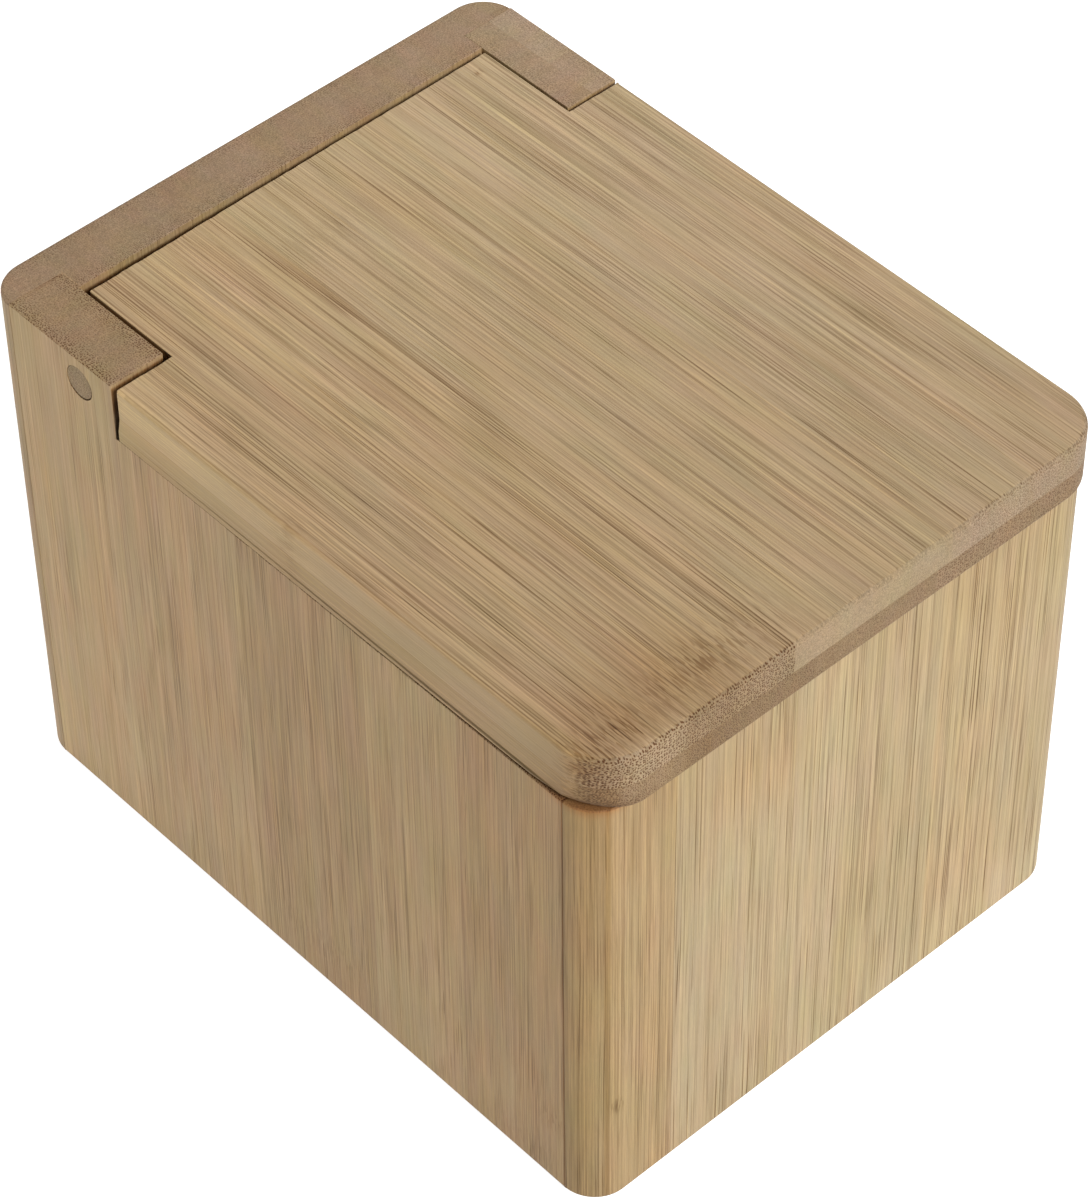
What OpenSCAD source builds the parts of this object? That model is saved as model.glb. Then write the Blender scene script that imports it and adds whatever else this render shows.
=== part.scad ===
// Salt box with a hinged wooden lid, built from glued bamboo boards.
// Front is -Y, the hinge side is +Y, up is +Z. The origin is on the table
// surface, under the middle of the closed box and its lid overhang.

/* [Box] */
// Outer width of the box, side to side
box_w = 101.2; // [90:0.1:130]
// Outer depth of the walls, front to back, without the lid overhang
box_d = 133.2; // [115:0.1:170]
// Overall height of the closed box
box_h = 100; // [80:0.5:130]
// Radius of the four upright corners
corner_r = 6.4; // [4:0.1:8]
// Bevel that eases the outer edges at the foot and at the hinge block
ease = 0.6; // [0.2:0.1:1]

/* [Walls] */
// Thickness of the side walls and of the hinge cheeks
side_t = 10; // [8:0.1:12]
// Thickness of the front wall
front_t = 10; // [8:0.1:12]
// Thickness of the back wall
back_t = 10.4; // [9:0.1:12]
// Thickness of the outer lap of the front and back walls, which covers the side walls' ends
lap_t = 6.2; // [5:0.1:7]
// Thickness of the bottom panel
floor_t = 8; // [5:0.1:12]
// Depth of the rabbet that the bottom panel sits in, in the side walls
floor_rabbet = 3.8; // [2:0.1:5]

/* [Lid] */
// Thickness of the lid
lid_t = 10.7; // [10:0.1:13]
// How far the lid stands out over the front wall, as a finger lip
lid_lip = 1.8; // [0.5:0.1:4]
// Plan radius of the lid's two front corners
lid_corner_r = 8.5; // [5:0.1:12]
// Bevel along the lid's upper edges
lid_ease_top = 0.8; // [0.3:0.1:1.5]
// Bevel along the lid's lower front edge
lid_ease_low = 1.0; // [0.3:0.1:1.5]
// Air gap between the closed lid and the walls under it
lid_seat_gap = 0.2; // [0.1:0.05:0.4]
// Gap between the lid's tongue and each cheek
tongue_side_gap = 0.6; // [0.4:0.1:1]
// Gap between the lid's tongue and the back wall
tongue_back_gap = 1.4; // [1.2:0.1:2]
// Gap between the lid's shoulders and the front of the cheeks
shoulder_gap = 1.2; // [1.1:0.1:2]

/* [Hinge] */
// Length of the hinge cheeks, from the box's back face
cheek_len = 30.3; // [28:0.1:31]
// Radius on the upper front edge of each cheek, which the lid's shoulder swings past
cheek_nose_r = 1.0; // [1:0.1:2]
// Distance of the hinge axis from the box's back face
pin_from_back = 22.3; // [22.2:0.1:22.6]
// Distance of the hinge axis below the closed lid's top
pin_below_top = 4.9; // [4.7:0.1:5]
// Diameter of the hinge dowels
pin_d = 5.8; // [4:0.1:6]
// Length of each hinge dowel, from the outer face of its cheek
pin_len = 22; // [16:0.5:30]
// Radial clearance of the dowel in the lid's bore
pin_clear = 0.08; // [0.03:0.01:0.1]
// Radial squeeze of the dowel in the cheek's hole, where it is glued
pin_squeeze = 0.01; // [0:0.005:0.02]

/* [Hidden] */
$fn = 96;
big = 400;
hw = box_w / 2;                       // outer faces at x = -hw and x = hw
y_lip = -(box_d + lid_lip) / 2;       // front of the lid
y_front = y_lip + lid_lip;            // outer face of the front wall
y_back = y_front + box_d;             // outer face of the back wall
x_in = hw - side_t;                   // inner faces of the side walls
y_front_lap = y_front + lap_t;        // side walls start here
y_back_lap = y_back - lap_t;          // and end here
y_front_in = y_front + front_t;       // inner face of the front wall
y_back_in = y_back - back_t;          // inner face of the back wall
lid_z = box_h - lid_t;                // underside of the closed lid
wall_z = lid_z - lid_seat_gap;        // top of the walls under the lid
y_cheek = y_back - cheek_len;         // front of the cheeks
y_shoulder = y_cheek - shoulder_gap;  // rear of the lid's full width
x_tongue = x_in - tongue_side_gap;    // sides of the lid's tongue
y_tongue = y_back_in - tongue_back_gap; // rear of the lid's tongue
y_pin = y_back - pin_from_back;
z_pin = box_h - pin_below_top;
wood_pale = [0.72, 0.61, 0.43];
wood_warm = [0.70, 0.58, 0.40];
wood_lid = [0.71, 0.60, 0.42];
wood_floor = [0.66, 0.55, 0.38];
wood_pin = [0.52, 0.44, 0.32];

// Rounded rectangle from [x0, y0] to [x1, y1]: rf is the radius of the two
// front corners, rb that of the two back corners (0 leaves them square).
module plan(x0, y0, x1, y1, rf, rb) {
  difference() {
    translate([x0, y0]) square([x1 - x0, y1 - y0]);
    for (s = [-1, 1]) {
      cx = s < 0 ? x0 : x1;
      if (rf > 0) corner_cut(cx, y0, s, -1, rf);
      if (rb > 0) corner_cut(cx, y1, s, 1, rb);
    }
  }
}

// What a corner at [cx, cy], pointing to [sx, sy], loses to a radius r.
module corner_cut(cx, cy, sx, sy, r) {
  difference() {
    translate([cx + (sx < 0 ? -1 : -r), cy + (sy < 0 ? -1 : -r)]) square([r + 1, r + 1]);
    translate([cx - sx * r, cy - sy * r]) circle(r = r);
  }
}

// Rectangle in which the edge at the high end of the second coordinate is
// bevelled by ct and the edge at its low end by cb, on both sides.
module bevelled(a0, b0, a1, b1, cb, ct) {
  polygon([[a0 + cb, b0], [a1 - cb, b0], [a1, b0 + cb], [a1, b1 - ct],
           [a1 - ct, b1], [a0 + ct, b1], [a0, b1 - ct], [a0, b0 + cb]]);
}

// Bevel of size c round an upright corner of radius r, at height z. It takes
// the upper edge when up is 1 and the lower edge when up is -1.
module corner_bevel(cx, cy, sx, sy, r, z, c, up) {
  translate([cx, cy, z])
    intersection() {
      rotate_extrude()
        polygon([[r - c - 1, up], [r + 1, -up * (c + 1)], [r + 1, up]]);
      translate([sx < 0 ? -r - 2 : 0, sy < 0 ? -r - 2 : 0, -c - 2])
        cube([r + 2, r + 2, 2 * c + 4]);
    }
}

// Slab with rounded upright corners and bevelled upper and lower edges.
module eased_slab(x0, y0, z0, x1, y1, z1, rf, rb, cb, ct) {
  difference() {
    intersection() {
      translate([0, 0, z0]) linear_extrude(height = z1 - z0) plan(x0, y0, x1, y1, rf, rb);
      translate([big / 2, 0, 0]) rotate([90, 0, -90])
        linear_extrude(height = big) mirror([1, 0, 0]) bevelled(y0, z0, y1, z1, cb, ct);
      translate([0, big / 2, 0]) rotate([90, 0, 0])
        linear_extrude(height = big) bevelled(x0, z0, x1, z1, cb, ct);
    }
    for (s = [-1, 1]) {
      cx = s < 0 ? x0 : x1;
      if (rf > 0) {
        corner_bevel(cx - s * rf, y0 + rf, s, -1, rf, z1, ct, 1);
        corner_bevel(cx - s * rf, y0 + rf, s, -1, rf, z0, cb, -1);
      }
      if (rb > 0) {
        corner_bevel(cx - s * rb, y1 - rb, s, 1, rb, z1, ct, 1);
        corner_bevel(cx - s * rb, y1 - rb, s, 1, rb, z0, cb, -1);
      }
    }
  }
}

// Outer shape of the glued-up box, with no openings.
module box_envelope() {
  eased_slab(-hw, y_front, 0, hw, y_back, box_h, corner_r, corner_r, ease, ease);
}

// Block between two corner points.
module block(p, q) {
  translate(p) cube([q[0] - p[0], q[1] - p[1], q[2] - p[2]]);
}

// Cylinder of radius r along X from x0 to x1, on the hinge axis.
module on_hinge_axis(x0, x1, r) {
  translate([x0, y_pin, z_pin]) rotate([0, 90, 0]) cylinder(r = r, h = x1 - x0);
}

// The front and back boards: an outer lap over the whole width, and an inner
// layer between the side walls that stops above the bottom panel.
module front_wall() {
  color(wood_pale)
    intersection() {
      box_envelope();
      union() {
        block([-hw - 1, y_front - 1, -1], [hw + 1, y_front_lap, wall_z]);
        block([-x_in, y_front_lap - 1, floor_t], [x_in, y_front_in, wall_z]);
      }
    }
}

module back_wall() {
  color(wood_warm)
    difference() {
      intersection() {
        box_envelope();
        union() {
          block([-hw - 1, y_back_lap, -1], [hw + 1, y_back + 1, box_h + 1]);
          block([-x_in, y_back_in, floor_t], [x_in, y_back_lap + 1, box_h + 1]);
        }
      }
      // eased upper inner edge, beside the lid's tongue
      translate([0, y_back_in, box_h]) rotate([45, 0, 0])
        cube([2 * x_in, ease * 1.0, ease * 1.0], center = true);
    }
}

// Side view of a side wall: low under the lid, full height at the cheek,
// with a rounded nose where the lid's shoulder swings past.
module side_profile() {
  difference() {
    union() {
      translate([y_front_lap, 0]) square([y_back_lap - y_front_lap, wall_z]);
      translate([y_cheek, wall_z - 1]) square([y_back_lap - y_cheek, box_h - wall_z + 1]);
    }
    difference() {
      translate([y_cheek - 1, box_h - cheek_nose_r]) square([cheek_nose_r + 1, cheek_nose_r + 1]);
      translate([y_cheek + cheek_nose_r, box_h - cheek_nose_r]) circle(r = cheek_nose_r);
    }
  }
}

// The side wall on the -X side.
module side_wall() {
  difference() {
    intersection() {
      box_envelope();
      translate([-hw - 1, 0, 0]) rotate([90, 0, 90])
        linear_extrude(height = side_t + 1) side_profile();
    }
    // rabbet for the bottom panel
    block([-x_in - floor_rabbet, y_front_lap - 1, -1], [-x_in + 1, y_back_lap + 1, floor_t]);
    // hole for the hinge dowel
    on_hinge_axis(-hw - 1, -x_in + 1, pin_d / 2 - pin_squeeze);
  }
}

module left_wall() {
  color(wood_pale) side_wall();
}

module right_wall() {
  color(wood_pale) mirror([1, 0, 0]) side_wall();
}

module bottom_panel() {
  color(wood_floor)
    block([-x_in - floor_rabbet, y_front_lap, 0], [x_in + floor_rabbet, y_back_lap, floor_t]);
}

// The lid: a full-width front part flush with the side walls, and a tongue
// between the cheeks that carries two blind bores for the hinge dowels.
module lid() {
  color(wood_lid)
    difference() {
      eased_slab(-hw, y_lip, lid_z, hw, y_tongue, box_h, lid_corner_r, 0, lid_ease_low, lid_ease_top);
      // notches that the cheeks stand in
      for (s = [-1, 1])
        block([s < 0 ? -hw - 1 : x_tongue, y_shoulder, lid_z - 1],
              [s < 0 ? -x_tongue : hw + 1, y_tongue + 1, box_h + 1]);
      // blind bores for the hinge dowels
      for (s = [-1, 1])
        on_hinge_axis(s < 0 ? -x_tongue - 1 : hw - pin_len - 1,
                      s < 0 ? -hw + pin_len + 1 : x_tongue + 1, pin_d / 2 + pin_clear);
    }
}

// Hinge dowel, flush with the cheek's outer face, with a bevelled inner end.
module hinge_pin(s) {
  c = 0.5;
  translate([s * hw, y_pin, z_pin]) rotate([0, -s * 90, 0])
    rotate_extrude()
      polygon([[0, 0], [pin_d / 2, 0], [pin_d / 2, pin_len - c], [pin_d / 2 - c, pin_len], [0, pin_len]]);
}

module left_hinge_pin() {
  color(wood_pin) hinge_pin(-1);
}

module right_hinge_pin() {
  color(wood_pin) hinge_pin(1);
}

front_wall();
back_wall();
left_wall();
right_wall();
bottom_panel();
lid();
left_hinge_pin();
right_hinge_pin();
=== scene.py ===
import bpy, bmesh, math, random
from mathutils import Matrix, Vector


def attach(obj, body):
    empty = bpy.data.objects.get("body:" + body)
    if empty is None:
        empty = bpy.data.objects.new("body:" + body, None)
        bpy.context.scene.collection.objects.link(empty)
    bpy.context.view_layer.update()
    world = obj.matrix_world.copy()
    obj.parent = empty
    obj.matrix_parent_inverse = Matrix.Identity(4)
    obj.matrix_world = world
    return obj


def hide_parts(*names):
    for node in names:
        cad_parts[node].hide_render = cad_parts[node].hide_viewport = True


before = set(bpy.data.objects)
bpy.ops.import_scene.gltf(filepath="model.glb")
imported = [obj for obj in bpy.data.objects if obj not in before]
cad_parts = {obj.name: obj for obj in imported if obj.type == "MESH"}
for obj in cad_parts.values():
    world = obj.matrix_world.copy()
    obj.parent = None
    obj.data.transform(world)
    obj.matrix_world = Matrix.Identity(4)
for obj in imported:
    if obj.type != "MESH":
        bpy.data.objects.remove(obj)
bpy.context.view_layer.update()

# ------------------------------------------------------------------ sizes, in mm, as the CAD model has them
HW = 50.6                    # outer side faces
YF, YB = -65.7, 67.5         # outer front and back faces of the walls
Y_LIP = -67.5                # front of the lid
H = 100.0
X_IN = 40.6                  # inner faces of the side walls
X_INR = 40.45                # the right wall is a hair thicker, so the gap beside the tongue is tighter there
Y_FLAP, Y_BLAP = -59.5, 61.3  # inner sides of the laps, where the side walls end
Y_FIN, Y_BIN = -55.7, 57.1   # inner faces of the front and back walls
Z_WALL, Z_LID = 89.1, 89.3   # top of the walls, underside of the lid
Y_CHEEK = {-1: 37.3, 1: 37.2}      # front of the hinge cheeks
Y_SHOULDER = {-1: 35.93, 1: 36.42}  # the lid's shoulders, a little out of square
X_TONGUE, Y_TONGUE_L, Y_TONGUE_R = 40.0, 55.3, 55.98
FLOOR_T, PANEL_X = 8.0, 44.4
PIN_Y, PIN_Z, PIN_R, PIN_LEN = 45.2, 95.1, 2.9, 22.0
CORNER_R, LID_R = 6.4, 8.5
PLY = 5.7                    # depth of the lid's upper ply


# ------------------------------------------------------------------ mesh helpers (all in mm, scaled at the end)
def arc(cx, cy, r, a0, a1, n):
    return [(cx + r * math.cos(math.radians(a0 + (a1 - a0) * i / n)), cy + r * math.sin(math.radians(a0 + (a1 - a0) * i / n))) for i in range(n + 1)]


def prism(name, pts, axis, lo, hi):
    """A closed prism: pts are (x, y) for axis Z or (y, z) for axis X."""
    bm = bmesh.new()
    def at(p, h):
        return (p[0], p[1], h) if axis == "Z" else (h, p[0], p[1])
    a = [bm.verts.new(at(p, lo)) for p in pts]
    b = [bm.verts.new(at(p, hi)) for p in pts]
    bm.faces.new(a); bm.faces.new(b)
    n = len(pts)
    for i in range(n):
        bm.faces.new((a[i], a[(i + 1) % n], b[(i + 1) % n], b[i]))
    bmesh.ops.recalc_face_normals(bm, faces=bm.faces)
    me = bpy.data.meshes.new(name)
    bm.to_mesh(me); bm.free()
    o = bpy.data.objects.new(name, me)
    bpy.context.scene.collection.objects.link(o)
    return o


def box_of(name, lo, hi):
    return prism(name, [(lo[0], lo[1]), (hi[0], lo[1]), (hi[0], hi[1]), (lo[0], hi[1])], "Z", lo[2], hi[2])


def lathe_x(name, profile, y, z, segs=72):
    """A closed solid of revolution about the line (y, z) along X. profile is [(x, r), ...], with r = 0 at both ends."""
    bm = bmesh.new()
    rings = []
    for x, r in profile:
        if r < 1e-6:
            rings.append([bm.verts.new((x, y, z))])
        else:
            rings.append([bm.verts.new((x, y + r * math.cos(2 * math.pi * k / segs), z + r * math.sin(2 * math.pi * k / segs))) for k in range(segs)])
    for a, b in zip(rings, rings[1:]):
        for k in range(segs):
            j = (k + 1) % segs
            if len(a) == 1:
                bm.faces.new((a[0], b[k], b[j]))
            elif len(b) == 1:
                bm.faces.new((a[k], a[j], b[0]))
            else:
                bm.faces.new((a[k], a[j], b[j], b[k]))
    bmesh.ops.recalc_face_normals(bm, faces=bm.faces)
    me = bpy.data.meshes.new(name)
    bm.to_mesh(me); bm.free()
    o = bpy.data.objects.new(name, me)
    bpy.context.scene.collection.objects.link(o)
    return o


def bake_modifiers(o):
    dg = bpy.context.evaluated_depsgraph_get()
    me = bpy.data.meshes.new_from_object(o.evaluated_get(dg), preserve_all_data_layers=True, depsgraph=dg)
    old = o.data
    o.modifiers.clear()
    o.data = me
    me.name = o.name
    bpy.data.meshes.remove(old)


def carve(o, tool, op="DIFFERENCE"):
    m = o.modifiers.new("b", "BOOLEAN")
    m.operation, m.solver, m.object = op, "EXACT", tool
    bake_modifiers(o)
    me = tool.data
    bpy.data.objects.remove(tool)
    bpy.data.meshes.remove(me)


def tidy(o):
    """Merges coplanar faces, so that only real edges are left."""
    bm = bmesh.new()
    bm.from_mesh(o.data)
    bmesh.ops.remove_doubles(bm, verts=bm.verts, dist=1e-4)
    bmesh.ops.dissolve_limit(bm, angle_limit=math.radians(0.5), verts=bm.verts, edges=bm.edges)
    bmesh.ops.recalc_face_normals(bm, faces=bm.faces)
    bm.to_mesh(o.data); bm.free()


def split_long_edges(o, keep, step):
    """Cuts the long edges that keep(mid, direction) picks into lengths of about step, for a worn, uneven arris."""
    bm = bmesh.new()
    bm.from_mesh(o.data)
    for e in list(bm.edges):
        d = e.verts[1].co - e.verts[0].co
        if d.length > 2 * step and keep((e.verts[0].co + e.verts[1].co) / 2, d.normalized()):
            bmesh.ops.subdivide_edges(bm, edges=[e], cuts=int(d.length / step))
    bm.to_mesh(o.data); bm.free()


WIDTH = 2.4


def round_edges(o, rule, segments=5):
    """Rounds each edge to the radius, in mm, that rule(mid, direction, faces' normals) gives."""
    bm = bmesh.new()
    bm.from_mesh(o.data)
    layer = bm.edges.layers.float.get("bevel_weight_edge") or bm.edges.layers.float.new("bevel_weight_edge")
    for e in bm.edges:
        e[layer] = 0.0
        if len(e.link_faces) != 2:
            continue
        angle = e.calc_face_angle_signed(0.0)
        if angle < math.radians(30):
            continue
        d = (e.verts[1].co - e.verts[0].co).normalized()
        r = rule((e.verts[0].co + e.verts[1].co) / 2, d, [f.normal.copy() for f in e.link_faces])
        e[layer] = max(0.0, min(1.0, r / WIDTH))
    bm.to_mesh(o.data); bm.free()
    m = o.modifiers.new("r", "BEVEL")
    m.limit_method, m.offset_type, m.width, m.segments, m.profile = "WEIGHT", "OFFSET", WIDTH, segments, 0.5
    m.use_clamp_overlap = False
    m.miter_outer = "MITER_SHARP"
    bake_modifiers(o)


def smooth(o):
    for p in o.data.polygons:
        p.use_smooth = True
    m = o.modifiers.new("n", "WEIGHTED_NORMAL")
    m.mode, m.weight, m.keep_sharp = "FACE_AREA_WITH_ANGLE", 100, False
    bake_modifiers(o)


def to_metres(o):
    o.data.transform(Matrix.Scale(0.001, 4))


def near(a, b, tol=0.02):
    return abs(a - b) < tol


def ease(v, v0, v1, r0, r1):
    """r0 at v0 to r1 at v1, held outside."""
    k = max(0.0, min(1.0, (v - v0) / (v1 - v0)))
    return r0 + (r1 - r0) * k


# ------------------------------------------------------------------ the boards
def make_front_wall():
    left = arc(-HW + CORNER_R, YF + CORNER_R, CORNER_R, 180, 270, 24)
    right = arc(HW - CORNER_R, YF + CORNER_R, CORNER_R, 270, 360, 24)
    # the corner's arc ends a hair past the lap, so its first point is put on the lap's edge
    left[0], right[-1] = (-HW, Y_FLAP), (HW, Y_FLAP)
    o = prism("front_board", left + right, "Z", 0, Z_WALL)
    carve(o, box_of("t", (-X_IN, Y_FLAP - 2, FLOOR_T), (X_INR, Y_FIN, Z_WALL)), "UNION")
    tidy(o)

    def rule(m, d, n):
        if near(m.z, 0) and (m.y < Y_FLAP - 0.01):
            return 0.6
        if near(m.z, Z_WALL):
            if m.y < Y_FLAP - 0.01:
                return 0.35
            return 0.3 if near(m.y, Y_FIN) else 0.1
        if near(m.y, Y_FLAP) and abs(d.z) > 0.9:
            return 0.12
        return 0.1
    round_edges(o, rule)
    smooth(o)
    return o


def make_back_wall():
    right = arc(HW - CORNER_R, YB - CORNER_R, CORNER_R, 0, 90, 24)
    left = arc(-HW + CORNER_R, YB - CORNER_R, CORNER_R, 90, 180, 24)
    right[0], left[-1] = (HW, Y_BLAP), (-HW, Y_BLAP)
    o = prism("back_board", right + left, "Z", 0, H)
    carve(o, box_of("t", (-X_IN, Y_BIN, FLOOR_T), (X_INR, Y_BLAP + 2, H)), "UNION")
    tidy(o)
    split_long_edges(o, lambda m, d: near(m.z, H) and near(m.y, Y_BIN) and abs(d.x) > 0.9, 0.7)
    rnd = random.Random(11)
    wear = {}

    def rule(m, d, n):
        if near(m.z, H) and near(m.y, Y_BIN):
            k = round(m.x / 0.7)
            wear.setdefault(k, rnd.choice((0.07, 0.1, 0.14, 0.2, 0.3)))
            return wear[k]
        if near(m.z, H) and m.y > Y_BLAP + 0.01:
            return 0.7
        if near(m.z, 0) and m.y > Y_BLAP + 0.01:
            return 0.6
        return 0.1
    round_edges(o, rule)
    smooth(o)
    return o


def make_side_wall(s):
    """s is -1 for the left wall, 1 for the right one."""
    x_in, y_cheek = (X_IN if s < 0 else X_INR), Y_CHEEK[s]
    pts = [(Y_FLAP, 0), (Y_BLAP, 0), (Y_BLAP, H), (y_cheek, H), (y_cheek, Z_WALL), (Y_FLAP, Z_WALL)]
    lo, hi = sorted((s * HW, s * x_in))
    o = prism("left_board" if s < 0 else "right_board", pts, "X", lo, hi)
    plo, phi = sorted((s * PANEL_X, s * (x_in - 1)))
    carve(o, box_of("t", (plo, Y_FLAP - 1, -1), (phi, Y_BLAP + 1, FLOOR_T)))
    # the dowel's hole, a little low and forward of the dowel, so a thin dark crescent shows beside it
    x0, x1 = sorted((s * (HW + 1), s * (x_in - 1)))
    hole_r = PIN_R + 0.05
    carve(o, lathe_x("t", [(x0, 0), (x0, hole_r), (x1, hole_r), (x1, 0)], PIN_Y - 0.06, PIN_Z - 0.05))
    tidy(o)
    split_long_edges(o, lambda m, d: near(m.z, H) and near(m.y, y_cheek) and abs(d.x) > 0.9, 0.7)
    split_long_edges(o, lambda m, d: near(m.z, Z_WALL) and near(abs(m.x), HW) and abs(d.y) > 0.9, 0.9)
    rnd = random.Random(5 + s)

    def rule(m, d, n):
        out = near(abs(m.x), HW)
        if near(m.z, H):
            if near(m.y, y_cheek):
                return rnd.choice((0.2, 0.26, 0.3, 0.35)) if s < 0 else 0.25
            if out:
                return 0.7
            return 0.12 if near(abs(m.x), x_in) else 0.1
        if near(m.z, 0):
            return 0.6 if out else 0.1
        if near(m.z, Z_WALL):
            if not out:
                return 0.25
            chip = rnd.random() < 0.35 and -32 < m.y < 12
            return ease(m.y, -15, -52, 0.05, 0.3) + (rnd.uniform(0.12, 0.3) if chip else 0.0)
        if abs(m.y - PIN_Y) < 4 and abs(m.z - PIN_Z) < 4:
            return 0.06
        if near(m.y, y_cheek) and abs(d.z) > 0.9:
            return 0.15 if out else 0.2
        if near(m.y, Y_FLAP) and out:
            return 0.12
        return 0.1
    round_edges(o, rule)
    # the seam under the lid is closed at the back and opens towards the front
    for v in o.data.vertices:
        if v.co.z > Z_WALL - 1 and v.co.y < y_cheek - 0.5 and v.co.z < Z_WALL + 0.1:
            v.co.z += ease(v.co.y, -8, -56, 0.17, -0.12)
    smooth(o)
    return o


def make_bottom():
    o = box_of("bottom_board", (-PANEL_X, Y_FLAP, 0), (PANEL_X, Y_BLAP, FLOOR_T))
    round_edges(o, lambda m, d, n: 0.12, 3)
    smooth(o)
    return o


def relieve_corner(o):
    """The front left corner's lower edge is rubbed back, so the wall's end grain shows under it."""
    bm = bmesh.new()
    bm.from_mesh(o.data)
    for z in (90.6, 91.3, 92.1):
        bmesh.ops.bisect_plane(bm, geom=bm.verts[:] + bm.edges[:] + bm.faces[:], dist=1e-5, plane_co=(0, 0, z), plane_no=(0, 0, 1))
    for v in bm.verts:
        h = (Z_LID + 2.8 - v.co.z) / 2.8
        k = math.exp(-((v.co.x + 49.4) ** 2 + (v.co.y + 63.2) ** 2) / 26.0)
        if h > 0 and k > 0.02:
            d = 1.5 * (k - 0.02) * min(1.0, h) ** 2
            v.co.x += 0.80 * d
            v.co.y += 0.60 * d
    bm.to_mesh(o.data)
    bm.free()


def make_lid():
    left = arc(-HW + LID_R, Y_LIP + LID_R, LID_R, 180, 270, 28)
    right = arc(HW - LID_R, Y_LIP + LID_R, LID_R, 270, 360, 28)
    y_l, y_r = 36.5, Y_SHOULDER[1]
    pts = left + right + [(HW, y_r), (X_TONGUE, y_r), (X_TONGUE, Y_TONGUE_R), (-X_TONGUE, Y_TONGUE_L), (-X_TONGUE, y_l), (-HW, y_l)]
    o = prism("lid_board", pts, "Z", Z_LID, H)
    # the shoulders are relieved where the cheeks' noses pass them as the lid swings
    carve(o, prism("t", [(Y_SHOULDER[-1], H + 1), (Y_SHOULDER[-1], 94.0), (y_l, 91.3), (y_l + 2, 91.3), (y_l + 2, H + 1)], "X", -HW - 1, -X_TONGUE))
    hollow = [(PIN_Y - 9.39 * math.cos(math.radians(a)), PIN_Z + 9.39 * math.sin(math.radians(a))) for a in range(-20, 21, 4)]
    hollow = [p for p in hollow if p[0] < y_r - 0.02]
    carve(o, prism("t", [(y_r + 2, hollow[0][1] - 0.25), (y_r, hollow[0][1] - 0.25)] + hollow + [(y_r, hollow[-1][1] + 0.25), (y_r + 2, hollow[-1][1] + 0.25)], "X", X_TONGUE, HW + 1))
    for s in (-1, 1):
        r = PIN_R + 0.08
        x0, x1 = sorted((s * (X_TONGUE + 1), s * (HW - PIN_LEN - 1)))
        carve(o, lathe_x("t", [(x0, 0), (x0, r), (x1, r), (x1, 0)], PIN_Y, PIN_Z))
    tidy(o)
    split_long_edges(o, lambda m, d: near(m.z, Z_LID) and near(abs(m.x), HW) and abs(d.y) > 0.9, 6.0)
    split_long_edges(o, lambda m, d: near(m.z, H) and m.y > 35 and abs(d.x) > 0.9, 0.8)
    rnd = random.Random(2)

    def rule(m, d, n):
        front = m.y < Y_LIP + LID_R
        rear = m.y > 35.5 and not near(abs(m.x), HW)
        if near(m.z, H):
            if rear:
                return rnd.choice((0.10, 0.14, 0.18, 0.26)) if abs(d.x) > 0.9 else 0.16
            return 0.9
        if near(m.z, Z_LID):
            if rear:
                return 0.3
            if front:
                return ease(m.y, Y_LIP + LID_R, Y_LIP, 0.45, 0.9)
            return ease(m.y, -12, -58, 0.05, 0.45)
        if abs(m.y - PIN_Y) < 4 and abs(d.z) < 0.9:
            return 0.1
        return 0.18
    round_edges(o, rule)
    relieve_corner(o)
    smooth(o)
    return o


def make_pin(s):
    r, c = PIN_R - 0.03, 0.16
    x_out, x_in = s * (HW - 0.06), s * (HW - PIN_LEN)
    prof = [(x_out + s * 0.0, 0)]
    for k in range(1, 6):
        prof.append((x_out - s * 0.012 * (k / 5) ** 2, (r - c) * k / 5))
    for k in range(1, 6):
        a = math.pi / 2 * k / 5
        prof.append((x_out - s * (0.012 + c * (1 - math.cos(a))), r - c + c * math.sin(a)))
    for k in range(1, 8):
        prof.append((x_out + (x_in - x_out) * k / 8, r))
    for k in range(0, 5):
        a = math.pi / 2 * k / 4
        prof.append((x_in + s * 0.5 * (1 - math.sin(a)), r - 0.5 + 0.5 * math.cos(a)))
    prof.append((x_in, 0))
    o = lathe_x("left_dowel" if s < 0 else "right_dowel", prof, PIN_Y, PIN_Z)
    smooth(o)
    return o


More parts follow.
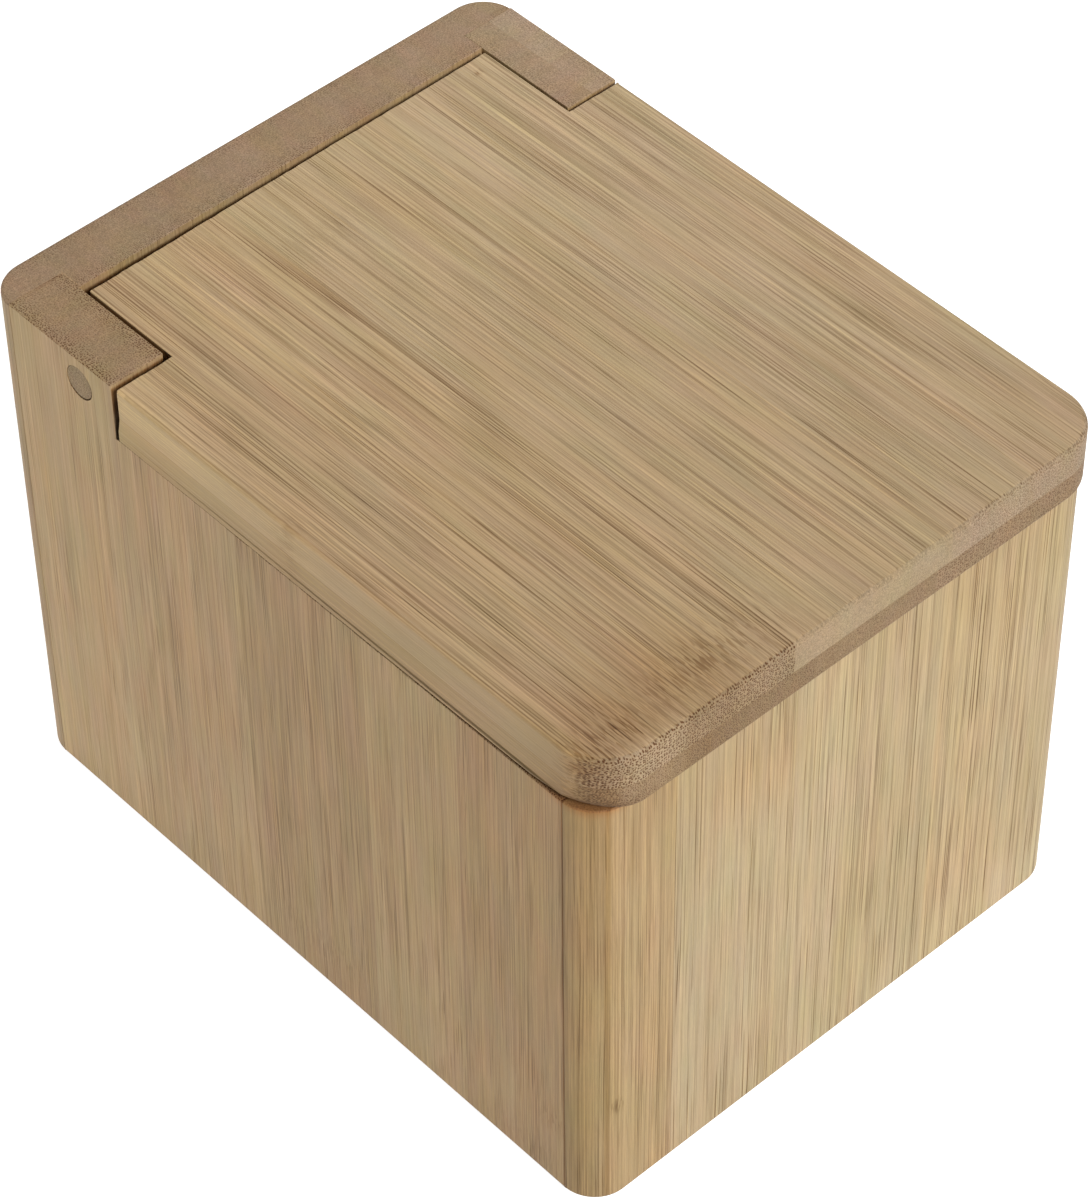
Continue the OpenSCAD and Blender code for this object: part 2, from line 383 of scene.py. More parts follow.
# ------------------------------------------------------------------ node helpers
class Nodes:
    def __init__(self, tree):
        self.t = tree

    def new(self, kind, **props):
        n = self.t.nodes.new(kind)
        for k, v in props.items():
            setattr(n, k, v)
        return n

    def put(self, socket, value):
        if value is None:
            return
        if isinstance(value, bpy.types.NodeSocket):
            self.t.links.new(value, socket)
        else:
            socket.default_value = value

    def m(self, op, a, b=None, c=None, clamp=False):
        n = self.new("ShaderNodeMath", operation=op, use_clamp=clamp)
        for i, v in enumerate((a, b, c)):
            self.put(n.inputs[i], v)
        return n.outputs[0]

    def add(self, a, b): return self.m("ADD", a, b)
    def sub(self, a, b): return self.m("SUBTRACT", a, b)
    def mul(self, a, b): return self.m("MULTIPLY", a, b)
    def mad(self, a, b, c): return self.m("MULTIPLY_ADD", a, b, c)

    def total(self, *parts):
        out = parts[0]
        for p in parts[1:]:
            out = self.add(out, p)
        return out

    def xyz(self, x, y, z):
        n = self.new("ShaderNodeCombineXYZ")
        for i, v in enumerate((x, y, z)):
            self.put(n.inputs[i], v)
        return n.outputs[0]

    def split(self, vec):
        n = self.new("ShaderNodeSeparateXYZ")
        self.put(n.inputs[0], vec)
        return n.outputs[0], n.outputs[1], n.outputs[2]

    def rgb_of(self, v):
        n = self.new("ShaderNodeCombineColor")
        for i in range(3):
            self.put(n.inputs[i], v)
        return n.outputs[0]

    def noise(self, vec, detail=0.0, rough=0.5, colour=False):
        n = self.new("ShaderNodeTexNoise", noise_dimensions="3D")
        self.put(n.inputs["Vector"], vec)
        n.inputs["Scale"].default_value = 1.0
        n.inputs["Detail"].default_value = detail
        n.inputs["Roughness"].default_value = rough
        return n.outputs["Color" if colour else "Fac"]

    def voronoi(self, vec, scale=1.0, rand=1.0):
        n = self.new("ShaderNodeTexVoronoi", voronoi_dimensions="2D", feature="F1")
        self.put(n.inputs["Vector"], vec)
        n.inputs["Scale"].default_value = scale
        n.inputs["Randomness"].default_value = rand
        return n.outputs["Distance"], n.outputs["Color"]

    def parts(self, colour):
        n = self.new("ShaderNodeSeparateColor")
        self.put(n.inputs[0], colour)
        return n.outputs[0], n.outputs[1], n.outputs[2]

    def rng(self, v, a0, a1, b0=0.0, b1=1.0, kind="SMOOTHSTEP"):
        n = self.new("ShaderNodeMapRange", interpolation_type=kind)
        self.put(n.inputs[0], v)
        for i, x in enumerate((a0, a1, b0, b1)):
            self.put(n.inputs[i + 1], x)
        return n.outputs[0]

    def ramp(self, v, stops, kind="LINEAR"):
        n = self.new("ShaderNodeValToRGB")
        n.color_ramp.interpolation = kind
        e = n.color_ramp.elements
        while len(e) > 1:
            e.remove(e[-1])
        e[0].position, e[0].color = stops[0][0], (*stops[0][1], 1)
        for p, c in stops[1:]:
            x = e.new(p)
            x.color = (*c, 1)
        self.put(n.inputs[0], v)
        return n.outputs[0]

    def mix(self, fac, a, b, blend="MIX"):
        n = self.new("ShaderNodeMix", data_type="RGBA", blend_type=blend, clamp_factor=True)
        self.put(n.inputs[0], fac)
        for i, v in ((6, a), (7, b)):
            if isinstance(v, bpy.types.NodeSocket):
                self.put(n.inputs[i], v)
            else:
                n.inputs[i].default_value = (*v, 1)
        return n.outputs[2]

    def gain(self, fac, colour, by):
        """colour, multiplied by the colour `by` as far as fac says."""
        return self.mix(fac, colour, by, "MULTIPLY")

    def mixf(self, fac, a, b):
        n = self.new("ShaderNodeMix", data_type="FLOAT", clamp_factor=True)
        for i, v in enumerate((fac, a, b)):
            self.put(n.inputs[i if i == 0 else i + 1], v)
        return n.outputs[0]


# ------------------------------------------------------------------ bamboo, as a solid texture
# a runs across the strips, t through the board's thickness, f along the fibres. The
# vascular bundles are columns along f: they are dots on end grain and drift slowly in
# and out of a face cut along the fibres, where they show as long fine streaks.
# A strip is (width mm, tint, streak strength, coarseness, dot strength, end-grain matrix).
def table(N, a, a0, strips, seed):
    whole = sum(s[0] for s in strips)
    u = N.m("FRACT", N.m("DIVIDE", N.sub(a, a0), whole))
    x, tint, props, ends = 0.0, [], [], []
    for k, (w, colour, strength, coarse, dots, matrix) in enumerate(strips):
        tint.append((x / whole, tuple(c / 2.0 for c in colour)))
        props.append((x / whole, (strength / 2.0, coarse, random.Random(seed * 101 + k).random())))
        ends.append((x / whole, (dots / 2.0, matrix / 2.0, 0.0)))
        x += w
    p = N.parts(N.ramp(u, props, "CONSTANT"))
    e = N.parts(N.ramp(u, ends, "CONSTANT"))
    return N.gain(1.0, N.ramp(u, tint, "CONSTANT"), (2.0, 2.0, 2.0)), N.mul(p[0], 2.0), p[1], p[2], N.mul(e[0], 2.0), N.mul(e[1], 2.0)


def bamboo(name, axes, a0, strips, seed, base, end_base, ply=None, strips2=None, ply_tint=(1, 1, 1), ply_end=(1, 1, 1), edge_tint=(1, 1, 1), edge_lines=1.0,
           run=0.010, drift=3.2, skin=None, streaks=0.6, dots=0.6, dashes=0.30, fine=0.20, pale=0.10, chroma=1.0, patches=(), local_tints_and_painted_light=(), knots=(), seams=(), gap_shade=None,
           # wear sets the arris lightening, which is rubbed wear with a painted highlight in it
           wear=0.08, wear_and_highlight_from=-1000.0, rough=0.56):
    mat = bpy.data.materials.new(name)
    mat.use_nodes = True
    t = mat.node_tree
    t.nodes.clear()
    N = Nodes(t)
    out = N.new("ShaderNodeOutputMaterial")
    bsdf = N.new("ShaderNodeBsdfPrincipled")
    t.links.new(bsdf.outputs[0], out.inputs[0])
    bsdf.inputs["Specular IOR Level"].default_value = 0.20
    bsdf.inputs["IOR"].default_value = 1.45

    tc = N.new("ShaderNodeTexCoord")
    pos = N.split(tc.outputs["Object"])
    nrm = N.split(tc.outputs["Normal"])
    pick = {"X": 0, "Y": 1, "Z": 2}
    mm = [N.mul(v, 1000.0) for v in pos]
    a, th, f = (mm[pick[c]] for c in axes)
    n_f = N.m("ABSOLUTE", nrm[pick[axes[2]]])
    n_a = N.m("ABSOLUTE", nrm[pick[axes[0]]])
    end = N.rng(n_f, 0.12, 0.55)
    edge = N.rng(n_a, 0.40, 0.85)

    # strips wander a little; the second ply has strips of its own
    wander = N.mul(N.sub(N.noise(N.xyz(seed * 1.7, N.mul(a, 0.03), N.mul(f, 0.022)), 1.0), 0.5), 0.9)
    aw = N.add(a, wander)
    tint, strength, coarse, key, dot_gain, matrix = table(N, aw, a0, strips, seed)
    if ply is not None:
        second = N.m("LESS_THAN" if ply[1] > 0 else "GREATER_THAN", th, ply[0])
        two = table(N, aw, a0 - 7.3, strips2 or strips, seed + 5)
        tint = N.mix(second, tint, two[0])
        strength, coarse, key, dot_gain, matrix = (N.mixf(second, x, y) for x, y in zip((strength, coarse, key, dot_gain, matrix), two[1:]))
        key = N.add(key, N.mul(second, 0.37))
    if edge_lines != 1.0:
        strength = N.mul(strength, N.mad(edge, edge_lines - 1.0, 1.0))

    # nodes of the culm: (a, f, half width, half length, strength)
    knot = None
    for ka, kf, kw, kl, ks in knots:
        da = N.m("DIVIDE", N.sub(aw, ka), kw)
        df = N.m("DIVIDE", N.sub(f, kf), kl)
        g = N.mul(N.m("EXPONENT", N.mul(N.add(N.mul(da, da), N.mul(df, df)), -1.0)), ks)
        knot = g if knot is None else N.m("MAXIMUM", knot, g)

    # bundles
    jump = N.mul(key, 61.0)
    move = N.parts(N.noise(N.xyz(N.mul(a, 0.09), N.mul(th, 0.09), N.add(N.mul(f, run), jump)), 1.6, 0.45, colour=True))
    wa = N.mul(N.sub(move[0], 0.5), 2.0)
    wt = N.mul(N.sub(move[1], 0.5), drift if knot is None else N.mad(knot, drift * 1.5, drift))
    qa = N.total(a, wa, N.mul(key, 37.0))
    qt = N.total(th, wt, N.mul(key, 53.0))
    spacing = N.mad(coarse, 0.26, 0.33)
    dist, cell = N.voronoi(N.xyz(N.m("DIVIDE", qa, spacing), N.m("DIVIDE", qt, spacing), 0.0), 1.0, 0.66)
    c = N.parts(cell)
    vary = N.mad(c[1], 0.80, 0.30)
    core = N.mul(N.rng(N.sub(dist, N.mad(c[0], 0.12, 0.14)), -0.05, 0.06, 1.0, 0.0), vary)
    dot = N.mul(N.rng(N.sub(dist, N.total(N.mul(c[0], 0.08), N.mul(coarse, 0.10), 0.23)), -0.06, 0.08, 1.0, 0.0), N.mad(c[1], 0.5, 0.55))
    # thinned out here and there
    gate = N.noise(N.xyz(N.mul(a, 0.42), N.mul(th, 0.35), N.add(N.mul(f, 0.045), jump)), 1.5)
    gate = N.rng(gate, 0.36, 0.60, 0.35, 1.10)
    streak = N.mul(core, gate)

    # short fine dashes, finer lines, grain, and slow changes of tone
    dash = N.noise(N.xyz(N.mul(a, 4.4), N.mul(th, 4.4), N.add(N.mul(f, 0.085), jump)), 1.0, 0.5)
    dark_dash = N.mul(N.rng(dash, 0.35, 0.44, 1.0, 0.0), N.mad(gate, 0.6, 0.4))
    pale_dash = N.rng(dash, 0.55, 0.66)
    lines = N.noise(N.xyz(N.mul(a, 2.3), N.mul(th, 2.3), N.add(N.mul(f, 0.013), jump)), 2.0, 0.62)
    hair = N.noise(N.xyz(N.mul(a, 3.1), N.mul(th, 3.1), N.add(N.mul(f, 0.015), jump)), 1.0, 0.5)
    grain = N.noise(N.xyz(N.mul(a, 9.0), N.mul(th, 9.0), N.add(N.mul(f, 0.8), jump)), 1.0, 0.5)
    slow = N.parts(N.noise(N.xyz(N.mul(a, 0.50), N.mul(th, 0.20), N.add(N.mul(f, 0.012), jump)), 2.0, 0.55, colour=True))
    cloud = N.parts(N.noise(N.xyz(N.mul(a, 0.17), N.mul(th, 0.10), N.add(N.mul(f, 0.055), seed * 3.1)), 2.0, 0.60, colour=True))

    lum = N.total(1.0, N.mul(N.sub(slow[0], 0.5), 0.22), N.mul(N.sub(cloud[0], 0.5), 0.16), N.mul(N.sub(grain, 0.5), 0.22), N.mul(N.sub(lines, 0.5), 0.18))
    hue = N.total(0.5, N.mul(N.sub(slow[1], 0.5), 0.7 * chroma), N.mul(N.sub(cloud[1], 0.5), 2.0 * chroma))
    tone = N.mix(hue, (1.045, 0.980, 0.985), (0.962, 1.022, 0.975))
    straw = N.total(0.5, N.mul(N.sub(cloud[2], 0.5), 1.8 * chroma), N.mul(N.sub(slow[2], 0.5), 1.2 * chroma))
    tone = N.gain(1.0, tone, N.mix(straw, (0.995, 0.99, 0.91), (1.005, 1.01, 1.09)))

    side = N.gain(1.0, tint, base)
    side = N.gain(1.0, side, tone)
    side = N.gain(1.0, side, N.rgb_of(lum))
    side = N.gain(N.mul(pale_dash, pale), side, (2.0, 1.98, 1.80))
    side = N.gain(N.mul(N.rng(hair, 0.52, 0.74, 0.0, 1.0, "LINEAR"), fine * 0.35), side, (2.0, 1.98, 1.75))
    side = N.gain(N.m("MULTIPLY", N.mul(N.rng(hair, 0.27, 0.52, 1.0, 0.0, "LINEAR"), N.mul(strength, N.mad(gate, 0.5, 0.5))), fine, clamp=True), side, (0.42, 0.31, 0.17))
    side = N.gain(N.m("MULTIPLY", N.mul(dark_dash, strength), dashes, clamp=True), side, (0.42, 0.33, 0.20))
    side = N.gain(N.m("MULTIPLY", N.mul(streak, strength), streaks, clamp=True), side, (0.36, 0.26, 0.13))
    if edge_tint != (1, 1, 1):
        side = N.gain(edge, side, edge_tint)

    dense = 1.0
    if skin is not None:
        e = N.m("DIVIDE", N.m("ABSOLUTE", N.sub(th, (skin[0] + skin[1]) / 2)), (skin[1] - skin[0]) / 2)
        dense = N.rng(e, 0.35, 0.95, 0.55, 1.35)
    fuzz = N.total(1.0, N.mul(N.sub(grain, 0.5), 0.80), N.mul(N.sub(dash, 0.5), 0.85), N.mul(N.sub(lines, 0.5), 0.40), N.mul(N.sub(cloud[0], 0.5), 0.20), N.mul(N.sub(slow[0], 0.5), 0.16))
    ends = N.gain(1.0, tint, end_base)
    ends = N.gain(1.0, ends, tone)
    ends = N.gain(1.0, ends, N.rgb_of(N.mul(fuzz, matrix)))
    ends = N.gain(N.m("MULTIPLY", N.mul(dot, N.mul(dot_gain, dense)), dots, clamp=True), ends, (0.34, 0.20, 0.115))

    if ply is not None:
        side = N.gain(second, side, ply_tint)
        ends = N.gain(second, ends, ply_end)
    col = N.mix(end, side, ends)

    # broad changes of tone: (a, f, half width, half length, gain). The left wall's lighter bottom is painted light.
    for pa, pf, ha, hf, gain in patches:
        da = N.m("DIVIDE", N.sub(N.add(aw, N.mul(N.sub(slow[2], 0.5), 3.0)), pa), ha)
        df = N.m("DIVIDE", N.sub(N.add(f, N.mul(N.sub(slow[1], 0.5), min(14.0, hf))), pf), hf)
        d2 = N.mul(da, da)
        g = N.m("EXPONENT", N.mul(N.add(N.mul(d2, d2), N.mul(df, df)), -1.0))
        col = N.gain(g, col, gain)
    # local changes of colour: (x, y, z, radii, gain). Some are painted light: a painted pool of light on the rear of
    # the lid's left side, and painted shade on the lid's rounded lower edge at its front left corner and, with a redder
    # tint, on the walls' end grain under that corner.
    for sx, sy, sz, rx, ry, rz, gain in local_tints_and_painted_light:
        d = [N.m("DIVIDE", N.sub(mm[i], v), r) for i, v, r in ((0, sx, rx), (1, sy, ry), (2, sz, rz))]
        g = N.m("EXPONENT", N.mul(N.total(*(N.mul(v, v) for v in d)), -1.0))
        col = N.gain(N.mul(g, N.mad(N.sub(grain, 0.5), 0.8, 1.0)), col, gain)
    # nodes: a little browner, with short broken dashes
    if knot is not None:
        short = N.noise(N.xyz(N.mul(a, 3.0), N.mul(th, 3.0), N.add(N.mul(f, 0.32), jump)), 1.0, 0.5)
        dark = N.m("MULTIPLY", knot, N.rng(short, 0.50, 0.57, 0.10, 1.0), clamp=True)
        col = N.gain(dark, col, (0.50, 0.38, 0.25))
    # glue seams: (axis, position, half width, gain, limit axis, lower limit, upper limit)
    for ax, at, half, gain, lax, l0, l1 in seams:
        d = N.m("ABSOLUTE", N.sub(mm[pick[ax]], at))
        g = N.rng(d, half * 0.35, half, 1.0, 0.0)
        g = N.mul(g, N.mul(N.rng(mm[pick[lax]], l0 - 0.3, l0, 0.0, 1.0), N.rng(mm[pick[lax]], l1, l1 + 0.3, 1.0, 0.0)))
        col = N.gain(g, col, gain)
    # rounded arrises are rubbed a little lighter, and this lightening also holds a painted highlight; the lid's
    # stronger lightening along its rear arrises is a painted highlight
    n_z = N.m("ABSOLUTE", nrm[2])
    rim_wear_and_highlight = N.mul(N.mul(N.rng(n_z, 0.10, 0.40), N.rng(n_z, 0.80, 0.985, 1.0, 0.0)), N.rng(mm[1], wear_and_highlight_from, wear_and_highlight_from + 0.5))
    col = N.gain(N.mul(rim_wear_and_highlight, wear), col, (2.0, 2.0, 2.0))
    # painted shade on the faces in the gaps round the hinge, darker below a thin band at their top edge: (faces that
    # look along Y, sign; side faces within |x|; z range)
    if gap_shade is not None:
        sign, x_lim, y_lim, z0, z1, z2 = gap_shade
        across = N.mul(N.rng(N.mul(nrm[1], float(sign)), 0.5, 0.8), N.rng(N.mul(mm[1], float(sign)), y_lim - 0.3, y_lim))
        flank = N.mul(N.rng(N.m("ABSOLUTE", nrm[0]), 0.5, 0.8), N.rng(N.m("ABSOLUTE", mm[0]), x_lim, x_lim + 0.3, 1.0, 0.0))
        g = N.mul(N.m("MAXIMUM", across, flank), N.mul(N.rng(mm[2], z0, z0 + 0.3), N.rng(mm[2], z1, z2, 1.0, 0.0)))
        g = N.mul(g, N.mad(N.sub(lines, 0.5), 1.2, 0.85))
        col = N.gain(g, col, (0.52, 0.35, 0.20))

    N.put(bsdf.inputs["Base Color"], col)
    r = N.total(rough, N.mul(N.sub(grain, 0.5), 0.14), N.mul(core, 0.08), N.mul(end, 0.14))
    N.put(bsdf.inputs["Roughness"], r)
    bump = N.new("ShaderNodeBump")
    bump.inputs["Strength"].default_value = 0.5
    bump.inputs["Distance"].default_value = 0.00007
    N.put(bump.inputs["Height"], N.total(N.mul(lines, 0.6), N.mul(dash, 0.5), N.mul(grain, 0.3), N.mul(streak, -0.8)))
    N.put(bsdf.inputs["Normal"], bump.outputs[0])
    return mat


# tints are multipliers on the base colour
WALL_END = (0.225, 0.154, 0.090)

lid_upper = [(19.0, (0.965, 0.925, 0.90), 1.15, 0.35, 1.25, 1.22), (19.3, (1.00, 0.97, 0.94), 1.1, 0.32, 1.25, 1.18),
             (31.5, (1.01, 1.015, 1.02), 0.9, 0.3, 0.15, 1.30), (4.0, (1.02, 1.03, 1.07), 0.9, 0.2, 0.40, 1.30), (31.5, (1.03, 1.04, 1.10), 0.9, 0.20, 0.70, 1.27)]
lid_lower = [(30.0, (1.0, 0.97, 0.92), 0.7, 0.05, 0.95, 1.04), (20.0, (0.98, 0.96, 0.93), 0.7, 0.0, 0.9, 1.06), (24.0, (1.02, 1.01, 1.0), 0.6, 0.1, 0.65, 1.08),
             (36.0, (1.0, 0.99, 1.0), 0.7, 0.4, 0.8, 1.16)]
left_strips = [(30.0, (0.955, 0.905, 0.85), 1.0, 0.15, 1.0, 1.0), (20.0, (1.0, 1.0, 0.95), 0.9, 0.3, 1.0, 1.0), (28.0, (0.93, 0.895, 0.85), 1.1, 0.2, 1.0, 1.0),
               (28.0, (1.03, 1.01, 0.99), 0.9, 0.2, 1.0, 1.0), (30.0, (1.09, 1.09, 1.05), 0.8, 0.15, 1.0, 1.0)]
right_strips = [(24.0, (1.0, 0.985, 0.95), 0.9, 0.2, 0.6, 1.0), (21.0, (1.04, 1.03, 1.03), 0.7, 0.3, 0.5, 1.0), (20.0, (0.94, 0.915, 0.88), 1.0, 0.2, 0.6, 1.0),
                (22.0, (1.0, 1.0, 0.98), 0.8, 0.3, 0.6, 1.0), (26.0, (0.98, 0.95, 0.92), 0.95, 0.2, 0.6, 1.0), (23.0, (1.02, 1.02, 1.0), 0.8, 0.2, 0.5, 1.0)]
front_strips = [(18.0, (0.90, 0.83, 0.73), 1.15, 0.3, 0.5, 1.0), (14.6, (0.94, 0.93, 0.92), 0.9, 0.5, 0.5, 1.0), (9.0, (0.985, 1.00, 1.00), 1.1, 0.4, 0.5, 1.0),
                (10.0, (1.01, 1.035, 1.06), 0.8, 0.5, 0.5, 1.0), (20.0, (0.97, 0.975, 0.96), 1.0, 0.5, 0.5, 1.0), (16.0, (1.00, 0.98, 0.93), 1.2, 0.4, 0.5, 1.0),
                (18.0, (1.00, 1.00, 0.99), 1.0, 0.6, 0.5, 1.0)]
back_strips = [(22.0, (0.93, 0.91, 0.88), 0.9, 0.1, 0.8, 1.0), (19.0, (0.96, 0.945, 0.92), 1.0, 0.0, 0.8, 1.0), (21.0, (0.98, 0.97, 0.96), 0.8, 0.1, 0.7, 1.0),
               (20.0, (1.0, 0.99, 0.98), 0.9, 0.1, 0.7, 1.0), (24.0, (1.04, 1.03, 1.03), 0.8, 0.1, 0.6, 1.0)]

mats = {
    "lid": bamboo("lid_bamboo", "XZY", -52.6, lid_upper, 3, (0.304, 0.2175, 0.1215), (0.200, 0.146, 0.086), ply=(H - PLY, 1), strips2=lid_lower,
                  ply_tint=(0.85, 0.81, 0.75), ply_end=(0.93, 0.86, 0.80), edge_tint=(1.14, 1.15, 1.12), edge_lines=0.15,
                  run=0.0085, drift=2.4, streaks=0.56, dots=1.0, dashes=0.28, fine=0.66, chroma=0.75,
                  patches=[(0.0, 54.0, 120.0, 40.0, (1.06, 1.065, 1.05)), (0.0, -60.0, 120.0, 34.0, (0.975, 0.97, 0.97)), (-42.0, -67.6, 6.5, 1.6, (1.28, 1.38, 1.54)), (-38.0, -60.0, 16.0, 9.0, (0.92, 0.86, 0.77))],
                  # the first spot is a painted pool of light on the rear of the lid's left side; the second is painted
                  # shade on the lid's rounded lower edge at its front left corner
                  local_tints_and_painted_light=[(-50.6, 40.0, 97.0, 3.0, 34.0, 4.5, (1.18, 1.19, 1.13)), (-49.8, -64.5, 89.3, 8.0, 8.0, 2.1, (0.46, 0.33, 0.20)), (-50.4, -62.5, 97.5, 1.6, 2.6, 1.6, (0.80, 0.70, 0.58))],
                  knots=[(-6.0, 41.0, 7.0, 3.0, 0.22), (-50.0, -2.0, 1.6, 2.4, 0.4), (-45.0, -62.5, 9.0, 4.2, 0.80), (-26.0, -61.0, 13.0, 4.6, 0.75), (36.0, 53.0, 1.0, 0.6, 0.8)],
                  # from y = 34 back, the lid's stronger arris lightening is a painted highlight
                  # the lid's gap darkening, on its shoulders and tongue below a thin band at their top edge, is painted
                  # shade
                  seams=[("Z", H - PLY, 0.10, (0.90, 0.86, 0.82), "Y", -80, 60)], gap_shade=(1, 40.3, 35.0, 89.0, 99.45, 99.80), wear=0.22, wear_and_highlight_from=34.0),
    "left": bamboo("left_bamboo", "YXZ", -68.0, left_strips, 17, (0.316, 0.216, 0.1115), (0.206, 0.137, 0.076), ply=(-45.6, -1), run=0.012, skin=(-50.6, -40.6),
                   streaks=0.46, dots=0.95, dashes=0.22, fine=0.36, chroma=1.1,
                   # the patch lightens the bottom of the wall, painted light standing in for light bounced up off the
                   # floor
                   # the spot is a redder tint of the end grain under the lid's front left corner, darkened as painted
                   # shade
                   patches=[(0.0, 0.0, 90.0, 26.0, (1.07, 1.085, 1.13))], local_tints_and_painted_light=[(-50.0, -61.0, 89.2, 6.0, 5.0, 1.2, (0.94, 0.70, 0.50))],
                   knots=[(-4.0, 9.0, 13.0, 5.0, 0.30), (-57.0, 15.0, 3.5, 3.0, 0.4), (-52.0, 3.0, 10.0, 5.0, 0.25)],
                   # the gap darkening is painted shade on the left cheek's front and inner faces below their top edge
                   seams=[("Y", -59.45, 0.22, (0.62, 0.52, 0.42), "Z", -1, 90)], gap_shade=(-1, 41.0, -38.5, 89.1, 98.9, 99.55)),
    "right": bamboo("right_bamboo", "YXZ", -66.0, right_strips, 23, (0.325, 0.222, 0.1140), (0.275, 0.198, 0.131), ply=(45.6, 1), ply_end=(0.91, 0.87, 0.83), run=0.012, skin=(40.6, 50.6),
                    # the gap darkening is painted shade on the right cheek's front and inner faces below their top edge
                    streaks=0.46, dots=0.70, dashes=0.22, fine=0.36, chroma=1.0, knots=[(20.0, 64.0, 12.0, 3.5, 0.30), (-40.0, 22.0, 9.0, 3.5, 0.35)], gap_shade=(-1, 41.0, -38.5, 89.1, 99.0, 99.65)),
    "front": bamboo("front_bamboo", "XYZ", -52.6, front_strips, 31, (0.322, 0.2410, 0.1370), WALL_END, ply=(-60.7, -1), run=0.012, drift=1.9, skin=(-65.7, -55.7),
                    edge_tint=(0.83, 0.79, 0.70), streaks=0.76, dots=0.5, dashes=0.24, fine=0.40, chroma=0.8,
                    patches=[(-26.5, 36.0, 8.5, 34.0, (1.02, 1.05, 1.11)), (-18.0, 75.0, 9.0, 8.0, (1.02, 0.955, 0.89)), (0.0, 88.0, 90.0, 14.0, (0.97, 0.945, 0.90)),
                             (34.0, 0.0, 34.0, 10.0, (1.10, 1.15, 1.22))],
                    # the spot is a redder tint of the end grain under the lid's front left corner, darkened as painted
                    # shade
                    local_tints_and_painted_light=[(-49.0, -63.5, 89.2, 6.0, 7.0, 1.2, (0.94, 0.70, 0.50))],
                    knots=[(-45.5, 22.0, 1.2, 1.5, 0.8), (12.0, 30.0, 9.0, 3.0, 0.08)],
                    seams=[("Y", -59.55, 0.22, (0.70, 0.60, 0.50), "Z", -1, 90), ("Y", -65.0, 0.30, (0.80, 0.74, 0.62), "X", -60, -46)]),
    "back": bamboo("back_bamboo", "XYZ", -52.0, back_strips, 41, (0.325, 0.222, 0.1140), (0.232, 0.158, 0.095), ply=(62.3, 1), run=0.012, skin=(57.1, 67.5),
                   streaks=0.46, dots=0.85, dashes=0.22, fine=0.36, chroma=1.0, knots=[(-18.0, 38.0, 12.0, 3.5, 0.35), (30.0, 72.0, 10.0, 3.0, 0.3)],
                   # the gap darkening is painted shade on the back wall's inner face beside the lid's tongue
                   seams=[("X", -40.45, 0.14, (1.22, 1.20, 1.12), "Y", 57, 61.4)], gap_shade=(-1, -1.0, -58.5, 88.9, 98.2, 99.0)),
    "bottom": bamboo("bottom_bamboo", "YZX", -70.0, right_strips, 53, (0.325, 0.222, 0.1140), WALL_END, ply=(4.0, 1), run=0.010, streaks=0.45, dots=0.6, dashes=0.24, fine=0.30,
                     knots=[(-20.0, 12.0, 10.0, 4.0, 0.3), (35.0, -25.0, 10.0, 4.0, 0.3)]),
    "pin": bamboo("dowel_bamboo", "YZX", 20.0, [(60.0, (1.0, 1.0, 1.0), 1.0, 0.15, 1.0, 1.0)], 61, (0.26, 0.19, 0.105), (0.240, 0.172, 0.099), run=0.02, dots=0.60),
}

pieces = [
    (make_front_wall(), "front_wall", "box", "front", "wall_bamboo"),
    (make_back_wall(), "back_wall", "box", "back", "wall_bamboo"),
    (make_side_wall(-1), "left_wall", "box", "left", "wall_bamboo"),
    (make_side_wall(1), "right_wall", "box", "right", "wall_bamboo"),
    (make_bottom(), "bottom_panel", "box", "bottom", "floor_bamboo"),
    (make_lid(), "lid", "lid", "lid", "lid_bamboo"),
    (make_pin(-1), "left_hinge_pin", "box", "pin", "dowel"),
    (make_pin(1), "right_hinge_pin", "box", "pin", "dowel"),
]
for o, node, body, mat, slot in pieces:
    to_metres(o)
    o.data.materials.clear()
    o.data.materials.append(mats[mat])
    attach(o, body)
    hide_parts(node)

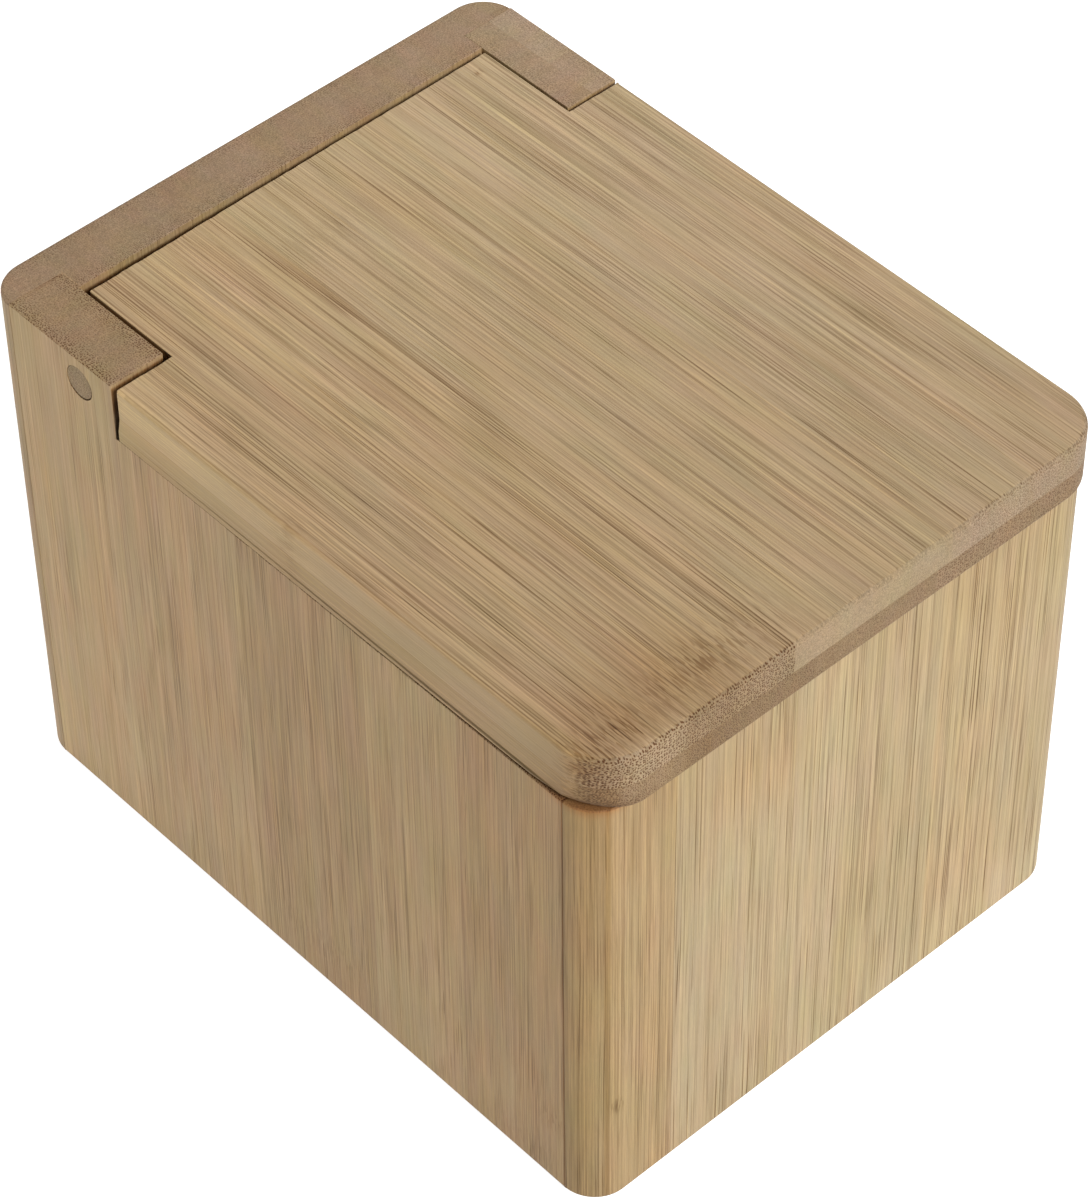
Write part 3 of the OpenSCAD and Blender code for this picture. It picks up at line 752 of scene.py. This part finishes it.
# ------------------------------------------------------------------ stage
floor_me = bpy.data.meshes.new("floor")
floor_me.from_pydata([(-3, -3, 0), (3, -3, 0), (3, 3, 0), (-3, 3, 0)], [], [(0, 1, 2, 3)])
floor = bpy.data.objects.new("floor", floor_me)
bpy.context.scene.collection.objects.link(floor)
fm = bpy.data.materials.new("floor")
fm.use_nodes = True
fb = fm.node_tree.nodes["Principled BSDF"]
fb.inputs["Base Color"].default_value = (0.50, 0.50, 0.497, 1)
fb.inputs["Emission Color"].default_value = (1, 1, 1, 1)
fb.inputs["Emission Strength"].default_value = 0.78
fb.inputs["Roughness"].default_value = 0.9
fb.inputs["Specular IOR Level"].default_value = 0.1
floor_me.materials.append(fm)


def area(name, at, size, power, colour=(1, 1, 1), target=(0, 0, 0.05)):
    light = bpy.data.lights.new(name, "AREA")
    light.shape, light.size, light.energy, light.color = "DISK", size, power, colour
    o = bpy.data.objects.new(name, light)
    bpy.context.scene.collection.objects.link(o)
    o.location = at
    o.rotation_euler = (Vector(target) - Vector(at)).to_track_quat("-Z", "Y").to_euler()
    return o


area("top", (0.35, 0.70, 1.10), 0.9, 11.6)
area("key", (-0.30, -2.63, 2.15), 1.35, 143.0)
area("fill", (-0.48, 0.34, 0.08), 0.25, 0.75)

world = bpy.data.worlds.new("world")
bpy.context.scene.world = world
world.use_nodes = True
world.node_tree.nodes["Background"].inputs[0].default_value = (1, 1, 1, 1)
world.node_tree.nodes["Background"].inputs[1].default_value = 0.16

scene = bpy.context.scene
scene.view_settings.view_transform = "Standard"
scene.view_settings.look = "None"
scene.view_settings.exposure = 0.0
scene.view_settings.gamma = 1.0

# ------------------------------------------------------------------ camera
cam_data = bpy.data.cameras.new("camera")
cam = bpy.data.objects.new("camera", cam_data)
scene.collection.objects.link(cam)
scene.camera = cam
right = Vector((0.7351056, -0.6779092, -0.0076711))
up = Vector((0.4959169, 0.5299743, 0.6878907))
back = Vector((-0.462262, -0.5094765, 0.7257737))
place = Vector((-0.3249146, -0.3589001, 0.5575798))
cam.matrix_world = Matrix(((right.x, up.x, back.x, place.x), (right.y, up.y, back.y, place.y), (right.z, up.z, back.z, place.z), (0, 0, 0, 1)))
cam_data.sensor_fit = "AUTO"
cam_data.sensor_width = 36.0
cam_data.lens = 135.9415
cam_data.clip_start, cam_data.clip_end = 0.01, 20.0
